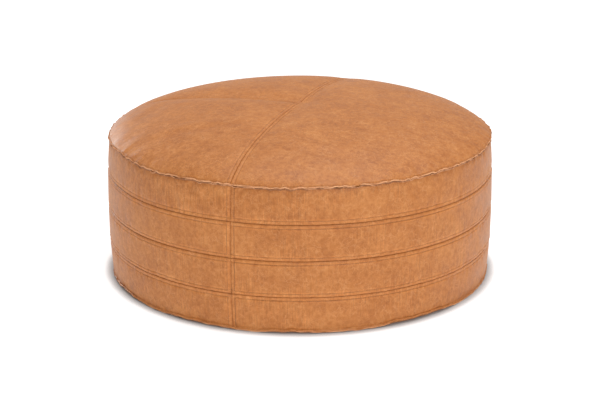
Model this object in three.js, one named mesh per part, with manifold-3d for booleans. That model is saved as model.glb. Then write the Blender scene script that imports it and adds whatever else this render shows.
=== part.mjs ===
// A large round leather pouf: a cover of sewn leather panels, zipped across its base, over a
// cotton inner bag that holds a foam core, side wadding and a crowned fibre topper.
// Millimetres, +Z up. The origin is the centre of the underside, and angles run
// anticlockwise from +X as seen from above.
import * as THREE from "three";
import { mergeVertices } from "three/addons/utils/BufferGeometryUtils.js";
import Module from "manifold-3d";

// Overall shape
const widestRadius = 457;
const widestHeight = 150;
const footRadius = 449; // of the wall where it meets the floor seam
const shoulderRadius = 446; // of the wall where it meets the rim seam
const rimHeight = 334; // plane between the two leaves of the rim seam
const seatHeight = 404;
const rimFlangeRadius = 452; // outer edge of the raw seam leaves at the rim
const footFlangeRadius = 452.4; // outer edge of the raw seam leaves at the base
const crownPower = 3.2; // flatness of the seat towards its middle
const crownFall = 1.55; // roundness of the seat towards its rim

// Leather and seams
const leather = 2.4;
const seamGap = 0.3; // clearance between two pieces that are sewn together
const allowance = 12; // width of the turned edge behind each seam
const rowCount = 4;
const rowPuff = 1.6; // how far each row of the wall swells between its seams
const seamTurn = 70.8; // azimuth of the seam that runs across the whole seat
const facets = 48;
const crownSteps = 9;
const rimStitchOut = 2; // from the wall's outline to the thread that closes each raw seam
const footStitchOut = 1;

// Inner bag and filling
const cotton = 1.2;
const liningInset = 6.6; // from the outside of the leather to the outside of the bag
const fillInset = 8.4; // from the outside of the leather to the filling
const foamRadius = 405;
const foamTop = 318;
const foamJoint = 160; // glue line between the two foam slabs
const innerFacets = 36;
const bagHem = 12; // drop of the bag's top below the rim seam
const waddingGap = 2;

// Base zip
const zipLength = 600;
const zipRise = 9; // height of the zip well's ceiling, so that the slider clears the floor
const wellHalfWidth = 20;
const wellSlope = 14; // width of the sloping side of the well
const mouthHalfWidth = 8; // half the gap between the panels' turned edges
const tape = { halfWidth: 21, thickness: 0.8, length: 626 };
const coil = { inner: 1, outer: 4.6, height: 3, corner: 0.9 };
const stopLength = 4;
const stopHeight = 4;
const slider = { length: 20, width: 13.6, shoulder: 4, taper: 0.8, plate: 1.4, lip: 1.3 };
const sliderPost = { width: 1.2, front: 1, back: 5 }; // front and back from the slider's nose
const coilRoom = 0.4; // between the coils and each plate of the slider
const tapeRoom = 0.5; // between the tapes and the slider's lips
const bail = { span: 8.8, thickness: 1.2, width: 2.2, drop: 4 };
const pull = { length: 26, width: 9, thickness: 1.4, bar: 1.8, slot: 6.4, droop: 14.5 };
const pullNeck = { inset: 1.2, flare: 4 };
const pullPlay = 0.5; // between the pull's slot and the bail
const slideRoom = 2.5; // space between the zip and the inner bag
const thread = 1.2;

const tanLeather = { color: 0xc4854f, roughness: 0.5, metalness: 0 };
const baseLeather = { color: 0xb5764a, roughness: 0.6, metalness: 0 };
const waxedThread = { color: 0x6e3f20, roughness: 0.7, metalness: 0 };
const cottonCanvas = { color: 0xe9e1cf, roughness: 0.95, metalness: 0 };
const foam = { color: 0xf2e6bd, roughness: 0.95, metalness: 0 };
const wadding = { color: 0xf5f3ee, roughness: 1, metalness: 0 };
const zipTape = { color: 0x5a3b26, roughness: 0.9, metalness: 0 };
const nylon = { color: 0x4b301f, roughness: 0.45, metalness: 0 };
const zipBrass = { color: 0xa8813f, roughness: 0.35, metalness: 1 };

const wasm = await Module();
wasm.setup();

const radians = THREE.MathUtils.degToRad;
const pouf = new THREE.Group();

function solidOf(geometry) {
  geometry.deleteAttribute("normal");
  geometry.deleteAttribute("uv");
  const merged = mergeVertices(geometry, 1e-3);
  const triVerts = new Uint32Array(merged.index.array);
  const vertProperties = merged.attributes.position.array;
  return new wasm.Manifold(new wasm.Mesh({ numProp: 3, vertProperties, triVerts }));
}

function geometryOf(solid) {
  const { vertProperties, triVerts } = solid.getMesh();
  const geometry = new THREE.BufferGeometry();
  geometry.setAttribute("position", new THREE.BufferAttribute(vertProperties, 3));
  geometry.setIndex(new THREE.BufferAttribute(triVerts, 1));
  geometry.computeVertexNormals();
  return geometry;
}

function addPiece(name, shape, finish, parent = pouf) {
  const geometry = shape.isBufferGeometry ? shape : geometryOf(shape);
  const piece = new THREE.Mesh(geometry, new THREE.MeshStandardMaterial(finish));
  piece.name = name;
  parent.add(piece);
  return piece;
}

// A profile of [radius, height] pairs turned round the pouf's axis.
function turned(profile, segments = facets) {
  const points = profile.map(([radius, height]) => new THREE.Vector2(radius, height));
  const geometry = new THREE.LatheGeometry(points, segments);
  return geometry.rotateX(Math.PI / 2).rotateZ(radians(seamTurn));
}

// A flat outline of [x, y] pairs extruded upwards between two heights.
function slab(outline, low, high) {
  const shape = new THREE.Shape(outline.map(([x, y]) => new THREE.Vector2(x, y)));
  const geometry = new THREE.ExtrudeGeometry(shape, { depth: high - low, bevelEnabled: false });
  return geometry.translate(0, 0, low);
}

function rectangle(x0, x1, y0, y1) {
  return [[x0, y0], [x1, y0], [x1, y1], [x0, y1]];
}

// The sector between two azimuths, with both of its sides moved inwards.
function sector(start, sweep, inset) {
  const reach = 1.6 * widestRadius;
  const middle = radians(start + sweep / 2);
  const shift = inset / Math.sin(radians(sweep / 2));
  const apex = [shift * Math.cos(middle), shift * Math.sin(middle)];
  const outline = [apex];
  for (let step = 0; step <= 4; step++) {
    const angle = radians(start + (sweep * step) / 4);
    outline.push([apex[0] + reach * Math.cos(angle), apex[1] + reach * Math.sin(angle)]);
  }
  return solidOf(slab(outline, -seatHeight, 2 * seatHeight));
}

// Wall and seat outlines

function wallRadius(height) {
  if (height < widestHeight) {
    const fall = (widestHeight - height) / widestHeight;
    return widestRadius - (widestRadius - footRadius) * fall ** 2;
  }
  const rise = (height - widestHeight) / (rimHeight - widestHeight);
  return widestRadius - (widestRadius - shoulderRadius) * rise ** 3;
}

// The seat's outline from the middle to the rim, moved inwards along its normal.
function crownProfile(inset, steps = crownSteps) {
  const base = rimHeight + seamGap / 2 + leather;
  const height = seatHeight - base;
  const points = [];
  for (let step = 0; step <= steps; step++) {
    const turn = (Math.PI / 2) * (step / steps);
    const out = Math.sin(turn) ** (2 / crownPower);
    const up = Math.cos(turn) ** (2 / crownFall);
    const normal = new THREE.Vector2(
      (crownPower / shoulderRadius) * out ** (crownPower - 1),
      (crownFall / height) * up ** (crownFall - 1),
    ).normalize();
    if (step === steps) normal.set(1, 0);
    const radius = shoulderRadius * out - inset * normal.x;
    const level = base + height * up - inset * normal.y;
    points.push([Math.max(radius, 0), level]);
  }
  return points;
}

// Seat: three panels, one half and two quarters, each ending in the rim seam's upper leaf

const columns = [
  { name: "right", start: seamTurn - 180, sweep: 180 },
  { name: "left_rear", start: seamTurn, sweep: 90 },
  { name: "left_front", start: seamTurn + 90, sweep: 90 },
];

function seatPanels() {
  const leafTop = rimHeight + seamGap / 2 + leather;
  const leafUnder = rimHeight + seamGap / 2;
  const outside = crownProfile(0);
  const inside = crownProfile(2 * leather).reverse();
  const doubled = solidOf(
    turned([
      ...outside,
      [rimFlangeRadius, leafTop],
      [rimFlangeRadius, leafUnder],
      [shoulderRadius - 2 * leather, leafUnder],
      ...inside,
    ].reverse()),
  );
  // What the doubled edge has beyond one thickness of leather, away from the seams.
  const spare = solidOf(
    turned([
      ...crownProfile(leather),
      [shoulderRadius - leather, leafUnder - leather],
      [shoulderRadius - 4 * leather, leafUnder - leather],
      ...crownProfile(4 * leather).reverse(),
    ].reverse()),
  );
  for (const { name, start, sweep } of columns) {
    const panel = doubled.intersect(sector(start, sweep, seamGap / 2));
    const middle = spare.intersect(sector(start, sweep, allowance));
    addPiece("seat_panel_" + name, panel.subtract(middle), tanLeather);
  }
}

// Wall: four rows of strips, each row in a half and two quarters

class Arc extends THREE.Curve {
  constructor(radius, start, end) {
    super();
    Object.assign(this, { radius, start, end });
  }
  getPoint(t, target = new THREE.Vector3()) {
    const angle = this.start + (this.end - this.start) * t;
    return target.set(this.radius * Math.cos(angle), this.radius * Math.sin(angle), 0);
  }
}

// A [radius, height] section swept along an arc about the pouf's axis.
function swept(section, start, sweep) {
  const clearance = seamGap / 2 / widestRadius;
  const path = new Arc(widestRadius, radians(start) + clearance, radians(start + sweep) - clearance);
  const shape = new THREE.Shape(
    section.map(([radius, height]) => new THREE.Vector2(-height, widestRadius - radius)),
  );
  const steps = Math.round((facets * sweep) / 360);
  return new THREE.ExtrudeGeometry(shape, { steps, extrudePath: path, bevelEnabled: false });
}

function rowSection(low, high, lowLeaf, highLeaf) {
  const section = [];
  const puffSteps = 3;
  for (let step = 0; step <= puffSteps; step++) {
    const share = step / puffSteps;
    const height = low + (high - low) * share;
    section.push([wallRadius(height) + rowPuff * Math.sin(Math.PI * share), height]);
  }
  if (highLeaf) {
    section[puffSteps][1] -= leather;
    section.push([rimFlangeRadius, high - leather], [rimFlangeRadius, high]);
  }
  const inner = (height, layers) => [wallRadius(height) - layers * leather, height];
  section.push(inner(high, 2), inner(high - allowance, 2), inner(high - allowance - leather, 1));
  section.push(inner(low + allowance + leather, 1), inner(low + allowance, 2), inner(low, 2));
  if (lowLeaf) {
    section[0][1] += leather;
    section.push([footFlangeRadius, low], [footFlangeRadius, low + leather]);
  }
  return section;
}

function wallStrips() {
  const rows = ["bottom", "lower", "upper", "top"];
  const foot = leather + seamGap / 2;
  const rowHeight = (rimHeight - foot) / rowCount;
  rows.forEach((row, index) => {
    const low = foot + rowHeight * index + seamGap / 2;
    const high = foot + rowHeight * (index + 1) - seamGap / 2;
    const section = rowSection(low, high, index === 0, index === rowCount - 1);
    for (const { name, start, sweep } of columns) {
      const strip = addPiece("wall_" + row + "_" + name, swept(section, 0, sweep), tanLeather);
      strip.rotation.z = radians(start);
    }
  });
}

// The threads that close the rim and base seams, as rings laid on the raw leaves

function threadRing(radius, low) {
  const high = low + thread;
  return turned([
    [radius, low],
    [radius + thread, low],
    [radius + thread, high],
    [radius, high],
    [radius, low],
  ]);
}

function seamThreads() {
  const rimLeafTop = rimHeight + seamGap / 2 + leather;
  addPiece("rim_thread", threadRing(shoulderRadius + rimStitchOut, rimLeafTop + seamGap), waxedThread);
  const baseLeafTop = 2 * leather + seamGap;
  addPiece("base_thread", threadRing(footRadius + footStitchOut, baseLeafTop + seamGap), waxedThread);
}

// Base: two half discs that rise to a well along the zip

// A bar along X with sloping sides and ends, from the floor up to its flat top.
function wellBlock(top, bottom) {
  const halfLength = zipLength / 2 + wellHalfWidth;
  const shape = new THREE.Shape(
    rectangle(-halfLength, halfLength, -wellHalfWidth, wellHalfWidth)
      .map(([x, y]) => new THREE.Vector2(x, y)),
  );
  const geometry = new THREE.ExtrudeGeometry(shape, {
    depth: leather,
    bevelSegments: 1,
    bevelSize: wellSlope,
    bevelThickness: top - bottom,
  });
  return solidOf(geometry.rotateX(Math.PI).translate(0, 0, bottom));
}

function basePanels() {
  const edge = footFlangeRadius;
  const disc = solidOf(turned([[0, 0], [edge, 0], [edge, leather], [0, leather]]));
  const above = solidOf(turned([[0, 0], [edge, 0], [edge, seatHeight], [0, seatHeight]]));
  const well = wellBlock(zipRise + leather, leather).intersect(above);
  const hollow = wellBlock(zipRise, 0);
  const halfMouth = zipLength / 2 + stopLength + seamGap;
  const mouth = solidOf(
    slab(rectangle(-halfMouth, halfMouth, -mouthHalfWidth, mouthHalfWidth), -leather, seatHeight),
  );
  const sheet = disc.add(well).subtract(hollow).subtract(mouth);
  for (const [name, start] of [["front", 180], ["rear", 0]]) {
    addPiece("base_panel_" + name, sheet.intersect(sector(start, 180, seamGap / 2)), baseLeather);
  }
}

// Zip: two tapes with their coils, stops, and a slider with its pull

function baseZip() {
  const tapeLow = zipRise + leather + seamGap;
  const zip = new THREE.Group();
  zip.position.z = tapeLow + tape.thickness / 2;
  pouf.add(zip);
  const coilHalf = coil.height / 2;
  const coilSection = new THREE.Shape();
  const { corner } = coil;
  coilSection.moveTo(coil.inner + corner, -coilHalf);
  coilSection.lineTo(coil.outer - corner, -coilHalf);
  coilSection.lineTo(coil.outer, corner - coilHalf);
  coilSection.lineTo(coil.outer, coilHalf - corner);
  coilSection.lineTo(coil.outer - corner, coilHalf);
  coilSection.lineTo(coil.inner + corner, coilHalf);
  coilSection.lineTo(coil.inner, coilHalf - corner);
  coilSection.lineTo(coil.inner, corner - coilHalf);
  const coilOptions = { depth: zipLength - 2 * seamGap, bevelEnabled: false };
  for (const [side, turn] of [["rear", 0], ["front", Math.PI]]) {
    const half = new THREE.Group();
    half.rotation.z = turn;
    zip.add(half);
    const web = rectangle(-tape.length / 2, tape.length / 2, coil.outer + seamGap, tape.halfWidth);
    addPiece("zip_tape_" + side, slab(web, -tape.thickness / 2, tape.thickness / 2), zipTape, half);
    const row = new THREE.ExtrudeGeometry(coilSection, coilOptions);
    // The section's x becomes y, and its length runs along X.
    row.rotateX(Math.PI / 2).rotateZ(Math.PI / 2).translate(-coilOptions.depth / 2, 0, 0);
    addPiece("zip_coil_" + side, row, nylon, half);
  }
  const stopStart = zipLength / 2;
  const stopHalf = stopHeight / 2;
  const stop = (x0, y0, y1) => slab(rectangle(x0, x0 + stopLength, y0, y1), -stopHalf, stopHalf);
  addPiece("zip_bottom_stop", stop(-stopStart - stopLength, -coil.outer, coil.outer), zipBrass, zip);
  addPiece("zip_top_stop_rear", stop(stopStart, coil.inner, coil.outer), zipBrass, zip);
  addPiece("zip_top_stop_front", stop(stopStart, -coil.outer, -coil.inner), zipBrass, zip);
  const carriage = sliderAndPull();
  carriage.position.x = zipLength / 2 - slider.length / 2 - seamGap;
  zip.add(carriage);
}

// One plate of the slider: its inner face has a channel between two lips for the coils.
function sliderPlate() {
  const coilClear = coil.height / 2 + coilRoom;
  const outerFace = -coilClear - slider.plate;
  const lipEdge = -tape.thickness / 2 - tapeRoom;
  const half = slider.length / 2;
  const wide = slider.width / 2;
  const narrow = wide - slider.taper;
  const shoulder = half - slider.shoulder;
  const outline = [[-half, -narrow], [shoulder, -wide], [half, -narrow]];
  outline.push([half, narrow], [shoulder, wide], [-half, narrow]);
  const channelHalf = narrow - slider.lip;
  const channel = solidOf(
    slab(rectangle(-slider.length, slider.length, -channelHalf, channelHalf), -coilClear, coilClear),
  );
  return solidOf(slab(outline, outerFace, lipEdge)).subtract(channel);
}

function sliderAndPull() {
  const carriage = new THREE.Group();
  const coilClear = coil.height / 2 + coilRoom;
  const plate = sliderPlate();
  const upper = plate.mirror([0, 0, 1]);
  const nose = slider.length / 2;
  const postHalf = sliderPost.width / 2;
  const post = solidOf(
    slab(rectangle(nose - sliderPost.back, nose - sliderPost.front, -postHalf, postHalf),
      -coilClear - slider.plate / 2, coilClear + slider.plate / 2),
  );
  // The bail is a square arch below the lower plate that holds the pull's end bar.
  const top = -coilClear - slider.plate / 2;
  const foot = -coilClear - slider.plate - bail.drop;
  const halfSpan = bail.span / 2;
  const arch = solidOf(slab(rectangle(-halfSpan, halfSpan, -bail.width / 2, bail.width / 2), foot, top));
  const eye = solidOf(
    slab(rectangle(-halfSpan + bail.thickness, halfSpan - bail.thickness, -bail.width, bail.width),
      foot + bail.thickness, -coilClear - slider.plate),
  );
  addPiece("zip_slider", plate.add(upper).add(post).add(arch.subtract(eye)), zipBrass, carriage);
  const hinge = new THREE.Group();
  hinge.position.z = foot + bail.thickness + (bail.drop - bail.thickness) / 2;
  hinge.rotation.y = -radians(pull.droop);
  carriage.add(hinge);
  addPiece("zip_pull", pullTab(), zipBrass, hinge);
  return carriage;
}

// A flat tab, with a slot behind its end bar for the bail, that points along -X.
function pullTab() {
  const outline = new THREE.Shape();
  const half = pull.width / 2;
  const neck = half - pullNeck.inset;
  const tip = pull.length - half;
  outline.moveTo(pull.bar / 2, -neck);
  outline.lineTo(pull.bar / 2, neck);
  outline.lineTo(-pull.slot, neck);
  outline.lineTo(-pull.slot - pullNeck.flare, half);
  outline.lineTo(-tip, half);
  outline.absarc(-tip, 0, half, Math.PI / 2, (3 * Math.PI) / 2, false);
  outline.lineTo(-pull.slot - pullNeck.flare, -half);
  outline.lineTo(-pull.slot, -neck);
  const slot = new THREE.Path();
  const slotHalf = bail.width / 2 + pullPlay;
  slot.moveTo(-pull.bar / 2, -slotHalf);
  slot.lineTo(-pull.slot, -slotHalf);
  slot.lineTo(-pull.slot, slotHalf);
  slot.lineTo(-pull.bar / 2, slotHalf);
  outline.holes.push(slot);
  const options = { depth: pull.thickness, bevelEnabled: false, curveSegments: 8 };
  return new THREE.ExtrudeGeometry(outline, options).translate(0, 0, -pull.thickness / 2);
}

// Inner bag: a crowned top, a side band and a base with a channel above the zip

function innerBag() {
  const seatLow = rimHeight - bagHem;
  const inner = crownProfile(liningInset + cotton, 7).reverse();
  const hem = shoulderRadius - liningInset;
  addPiece("bag_top", turned([
    ...crownProfile(liningInset, 7),
    [hem, seatLow],
    [hem - cotton, seatLow],
    ...inner,
  ].reverse(), innerFacets), cottonCanvas);
  const bandLow = 2 * leather;
  const bandHigh = seatLow - seamGap;
  const outside = [];
  const inside = [];
  for (let step = 0; step <= 4; step++) {
    const height = bandLow + ((bandHigh - bandLow) * step) / 4;
    outside.push([wallRadius(height) - liningInset, height]);
    inside.unshift([wallRadius(height) - liningInset - cotton, height]);
  }
  const band = turned([...outside, ...inside, outside[0]], innerFacets);
  addPiece("bag_side", band, cottonCanvas);
  const low = leather + seamGap;
  const radius = footRadius - liningInset - cotton - seamGap;
  const disc = solidOf(turned([[0, low], [radius, low], [radius, low + cotton], [0, low + cotton]]));
  const trim = solidOf(turned([[0, low], [radius, low], [radius, foamJoint], [0, foamJoint]]));
  const sheet = disc.add(zipTunnel(cotton).intersect(trim)).subtract(zipTunnel(0));
  addPiece("bag_base", sheet, cottonCanvas);
}

// The space that the zip needs above the base, as a ridge along X, grown on all sides.
function zipTunnel(grow) {
  const coilTop = zipRise + leather + seamGap + tape.thickness / 2 + coil.height / 2;
  const top = coilTop + slider.plate + slideRoom + grow;
  const halfTop = tape.halfWidth + slideRoom + grow;
  const halfLow = halfTop + wellSlope;
  const length = zipLength + 2 * (wellHalfWidth + wellSlope + slideRoom + grow);
  const section = new THREE.Shape([
    new THREE.Vector2(-halfLow, 0),
    new THREE.Vector2(halfLow, 0),
    new THREE.Vector2(halfTop, top),
    new THREE.Vector2(-halfTop, top),
  ]);
  const bar = new THREE.ExtrudeGeometry(section, { depth: length, bevelEnabled: false });
  return solidOf(bar.rotateX(Math.PI / 2).rotateZ(Math.PI / 2).translate(-length / 2, 0, 0));
}

// Filling: two foam slabs, a ring of wadding round them and a crowned fibre topper

function filling() {
  const low = leather + seamGap + cotton + seamGap;
  const groove = zipTunnel(cotton + 2 * seamGap);
  const lowerSlab = turned(
    [[0, low], [foamRadius, low], [foamRadius, foamJoint], [0, foamJoint]],
    innerFacets,
  );
  addPiece("foam_slab_lower", solidOf(lowerSlab).subtract(groove), foam);
  const joint = foamJoint + seamGap;
  addPiece("foam_slab_upper", turned(
    [[0, joint], [foamRadius, joint], [foamRadius, foamTop], [0, foamTop]],
    innerFacets,
  ), foam);
  const ringInner = foamRadius + waddingGap;
  const ring = [[ringInner, low]];
  for (let step = 0; step <= 4; step++) {
    const height = low + ((foamTop - low) * step) / 4;
    ring.push([wallRadius(height) - fillInset, height]);
  }
  ring.push([ringInner, foamTop], [ringInner, low]);
  addPiece("side_wadding", turned(ring, innerFacets), wadding);
  const topperLow = foamTop + seamGap;
  addPiece("fibre_topper", turned([
    ...crownProfile(fillInset, 7),
    [shoulderRadius - fillInset, topperLow],
    [0, topperLow],
  ].reverse(), innerFacets), wadding);
}

seatPanels();
wallStrips();
seamThreads();
basePanels();
baseZip();
innerBag();
filling();

export default pouf;
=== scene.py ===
import math
import bpy
import numpy as np
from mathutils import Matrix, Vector


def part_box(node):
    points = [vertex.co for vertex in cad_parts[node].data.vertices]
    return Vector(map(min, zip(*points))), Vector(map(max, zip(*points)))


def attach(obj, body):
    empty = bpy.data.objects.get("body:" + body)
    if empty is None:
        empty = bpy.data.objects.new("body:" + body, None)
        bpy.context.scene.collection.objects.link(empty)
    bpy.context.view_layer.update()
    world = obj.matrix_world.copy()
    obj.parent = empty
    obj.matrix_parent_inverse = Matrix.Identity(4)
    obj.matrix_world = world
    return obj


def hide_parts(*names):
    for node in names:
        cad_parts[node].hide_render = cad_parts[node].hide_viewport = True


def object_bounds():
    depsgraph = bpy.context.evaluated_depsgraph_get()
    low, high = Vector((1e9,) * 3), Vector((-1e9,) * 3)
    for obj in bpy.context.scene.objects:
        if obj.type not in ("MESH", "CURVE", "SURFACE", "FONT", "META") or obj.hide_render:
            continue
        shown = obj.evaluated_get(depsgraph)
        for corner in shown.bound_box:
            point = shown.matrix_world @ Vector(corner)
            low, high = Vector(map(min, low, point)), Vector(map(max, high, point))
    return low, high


# A large round leather pouf: panels and strips of waxed tan leather, sewn over a stuffed inner bag.
# Metres, +Z up, the frame's own axes. Angles run anticlockwise from +X as seen from above.

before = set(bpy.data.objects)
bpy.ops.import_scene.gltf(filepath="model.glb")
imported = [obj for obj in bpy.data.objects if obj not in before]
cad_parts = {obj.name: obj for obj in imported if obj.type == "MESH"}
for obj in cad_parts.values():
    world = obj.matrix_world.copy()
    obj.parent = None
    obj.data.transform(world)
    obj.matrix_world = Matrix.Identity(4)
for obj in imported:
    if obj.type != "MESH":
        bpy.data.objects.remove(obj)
cadLow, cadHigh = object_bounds()
bpy.ops.object.select_all(action="DESELECT")
millimetre = 0.001
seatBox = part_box("seat_panel_right")
coverLeather = 2.4 * millimetre

# The outline is a little under full size, because the filling then swells the cover.
cover = {
    "widestRadius": cadHigh.x - 1.9 * millimetre,
    "widestHeight": 0.150,
    "footRadius": 0.4488,
    "shoulderRadius": 0.4475,  # of the wall at the rim
    "crownRadius": 0.4492,  # the seat swells out to just short of its raw edge
    "rimHeight": seatBox[0].z,  # underside of the seat's raw leaf
    "seatHeight": cadHigh.z + 4 * millimetre,
    "crownPower": 3.1,
    "crownFall": 1.1,
    "valleys": (5 * millimetre, 5 * millimetre, 7.5 * millimetre),  # depth along each seat seam
    "valleyWidth": 42 * millimetre,
    "seamTurn": 70.8,  # azimuth of the seam that crosses the whole seat
    "seatLeaf": 3.2 * millimetre,  # how far the raw seam edges stand out
    "rimLeaf": 4.9 * millimetre,
    "footLeaf": 3.0 * millimetre,
    "seatFillet": 2.2 * millimetre,
    "rimFillet": 2.4 * millimetre,
    "footFillet": 2.4 * millimetre,
}
columns = {
    "right": (cover["seamTurn"] - 180, 180),
    "left_rear": (cover["seamTurn"], 90),
    "left_front": (cover["seamTurn"] + 90, 90),
}
rows = ("bottom", "lower", "upper", "top")
seamAngles = [math.radians(start) for start, sweep in columns.values()]
circumference = 2 * math.pi * cover["footRadius"]


def clearSelection():
    if bpy.context.object and bpy.context.object.mode != "OBJECT":
        bpy.ops.object.mode_set(mode="OBJECT")
    bpy.ops.object.select_all(action="DESELECT")


def choose(piece):
    clearSelection()
    piece.select_set(True)
    bpy.context.view_layer.objects.active = piece


def applyModifier(piece, kind, **settings):
    choose(piece)
    modifier = piece.modifiers.new(kind.lower(), kind)
    for name, value in settings.items():
        setattr(modifier, name, value)
    bpy.ops.object.modifier_apply(modifier=modifier.name)


def readPoints(mesh):
    points = np.zeros(len(mesh.vertices) * 3)
    mesh.vertices.foreach_get("co", points)
    return points.reshape(-1, 3)


def writePoints(mesh, points):
    mesh.vertices.foreach_set("co", np.ascontiguousarray(points, dtype=np.float32).ravel())
    mesh.update()


def smoothStep(value):
    value = np.clip(value, 0, 1)
    return value * value * (3 - 2 * value)


def polar(radius, angle, height):
    radius, angle, height = np.broadcast_arrays(radius, angle, height)
    return np.stack([radius * np.cos(angle), radius * np.sin(angle), height], axis=-1)


# Waves that close on themselves round the pouf, from a list of (wavelength, height) in millimetres.
def ripple(angle, waves, seed):
    draw = np.random.default_rng(seed)
    total = np.zeros_like(angle)
    for length, height in waves:
        for spread in (0.87, 1.0, 1.16):
            count = round(circumference / (length * spread * millimetre))
            size = height * millimetre * draw.uniform(0.4, 0.8)
            total += size * np.sin(count * angle + draw.uniform(0, 2 * math.pi))
    return total


# The outline of the cover

def wallRadius(height):
    below = np.clip((cover["widestHeight"] - height) / cover["widestHeight"], 0, None)
    span = cover["rimHeight"] - cover["widestHeight"]
    above = np.clip((height - cover["widestHeight"]) / span, 0, None)
    foot = (cover["widestRadius"] - cover["footRadius"]) * below ** 2
    shoulder = (cover["widestRadius"] - cover["shoulderRadius"]) * above ** 3
    return cover["widestRadius"] - foot - shoulder


rimTop = cover["rimHeight"] + coverLeather
crownBase = rimTop + cover["seatFillet"]
crownRise = cover["seatHeight"] - crownBase
crownTurn = np.linspace(0, math.pi / 2, 900)
crownRadii = cover["crownRadius"] * np.sin(crownTurn) ** (2 / cover["crownPower"])
crownHeights = crownBase + crownRise * np.clip(np.cos(crownTurn), 0, 1) ** (2 / cover["crownFall"])
crownSteps = np.hypot(np.diff(crownRadii), np.diff(crownHeights))
crownLengths = np.concatenate([[0], np.cumsum(crownSteps)])
crownLength = crownLengths[-1]
crownSlope = np.arctan2(-np.gradient(crownHeights, crownLengths), np.gradient(crownRadii, crownLengths))


# A point of the crown by its distance from the middle along the leather, and the way it faces.
def crownPoint(distance, angle):
    radius = np.interp(distance, crownLengths, crownRadii)
    height = np.interp(distance, crownLengths, crownHeights)
    lean = np.interp(distance, crownLengths, crownSlope)
    return polar(radius, angle, height), polar(np.sin(lean), angle, np.cos(lean)), radius


# Cloth forms: coarse sheets that the simulation swells, and that the fine panels then follow

softForm = {
    "seatCells": 76,
    "wallCells": (300, 34),
    "frames": 20,
    "pressure": 4.0,
    "seatCap": 3 * millimetre,
    "wallCap": 2.4 * millimetre,
    "slack": 0.012,  # how much more leather there is than the seams leave room for
    "seamHold": 0.92,
}


def gridSheet(name, across, along):
    clearSelection()
    bpy.ops.mesh.primitive_grid_add(x_subdivisions=across, y_subdivisions=along, size=2)
    sheet = bpy.context.object
    sheet.name = name
    sheet.data.name = name
    flat = readPoints(sheet.data)
    column = np.rint((flat[:, 0] + 1) / 2 * across).astype(int)
    row = np.rint((flat[:, 1] + 1) / 2 * along).astype(int)
    return sheet, column, row


def swell(form, hold, cap):
    start = readPoints(form.data)
    sewn = form.vertex_groups.new(name="sewn")
    for weight in np.unique(hold):
        if weight > 0:
            sewn.add(np.flatnonzero(hold == weight).tolist(), float(weight), "REPLACE")
    cloth = form.modifiers.new("cloth", "CLOTH")
    cloth.settings.quality = 5
    cloth.settings.mass = 0.35
    cloth.settings.tension_stiffness = 30
    cloth.settings.compression_stiffness = 30
    cloth.settings.shear_stiffness = 12
    cloth.settings.bending_stiffness = 1.5
    cloth.settings.air_damping = 2
    cloth.settings.shrink_min = -softForm["slack"]
    cloth.settings.use_pressure = True
    cloth.settings.uniform_pressure_force = softForm["pressure"]
    cloth.settings.vertex_group_mass = "sewn"
    cloth.settings.effector_weights.gravity = 0
    cloth.collision_settings.use_collision = False
    cloth.collision_settings.use_self_collision = False
    cloth.point_cache.frame_end = softForm["frames"]
    for step in range(1, softForm["frames"] + 1):
        bpy.context.scene.frame_set(step)
    posed = form.evaluated_get(bpy.context.evaluated_depsgraph_get())
    moved = readPoints(posed.data) - start
    bpy.context.scene.frame_set(1)
    length = np.linalg.norm(moved, axis=1, keepdims=True)
    moved *= np.minimum(1, cap / np.maximum(length, 1e-9))
    bpy.data.objects.remove(form)
    return moved


# The seat's form is a square sheet mapped on to the round crown, so that its cells stay even.
def seatMoves():
    cells = softForm["seatCells"]
    moves = np.zeros((cells + 1, cells + 1, 3))
    form, column, row = gridSheet("seatForm", cells, cells)
    u = column / cells * 2 - 1
    v = row / cells * 2 - 1
    x = u * np.sqrt(1 - v * v / 2)
    y = v * np.sqrt(1 - u * u / 2)
    share = np.hypot(x, y)
    angle = np.arctan2(y, x) + math.radians(cover["seamTurn"])
    writePoints(form.data, crownPoint(share * crownLength, angle)[0])
    hold = np.zeros(len(u))
    hold[np.abs(v) < 0.5 / cells] = softForm["seamHold"]
    hold[(np.abs(u) < 0.5 / cells) & (v > 0)] = softForm["seamHold"]
    hold[share > 1 - 0.5 / cells] = 1
    moves[row, column] = swell(form, hold, softForm["seatCap"])
    # The filling evens out the shortest wrinkles.
    for axis in (0, 1, 0, 1):
        moves[1:-1, 1:-1] = (0.5 * moves + 0.25 * np.roll(moves, 1, axis)
                             + 0.25 * np.roll(moves, -1, axis))[1:-1, 1:-1]
    return moves


rowEdges = [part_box("wall_bottom_right")[0].z]
rowEdges += [(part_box(f"wall_{a}_right")[1].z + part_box(f"wall_{b}_right")[0].z) / 2
             for a, b in zip(rows, rows[1:])]
rowEdges.append(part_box("wall_top_right")[1].z)


def wallMoves():
    around, upward = softForm["wallCells"]
    moves = np.zeros((upward + 1, around, 3))
    form, column, row = gridSheet("wallForm", around, upward)
    angle = column / around * 2 * math.pi + math.radians(cover["seamTurn"])
    height = rowEdges[0] + row / upward * (rowEdges[-1] - rowEdges[0])
    writePoints(form.data, polar(wallRadius(height), angle, height))
    hold = np.zeros(len(row))
    cellHeight = (rowEdges[-1] - rowEdges[0]) / upward
    for edge in rowEdges[1:-1]:
        hold[np.abs(height - edge) <= cellHeight / 2] = softForm["seamHold"]
    for quarter in (0, 1, 2):
        hold[column == (around * quarter) // 4] = softForm["seamHold"]
    hold[(row == 0) | (row == upward)] = 1
    hold[column == around] = 1
    moved = swell(form, hold, softForm["wallCap"])
    keep = column < around
    moves[row[keep], column[keep]] = moved[keep]
    return moves


def cubicWeights(share):
    square = share * share
    cube = square * share
    return (-0.5 * cube + square - 0.5 * share, 1.5 * cube - 2.5 * square + 1,
            -1.5 * cube + 2 * square + 0.5 * share, 0.5 * cube - 0.5 * square)


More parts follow.
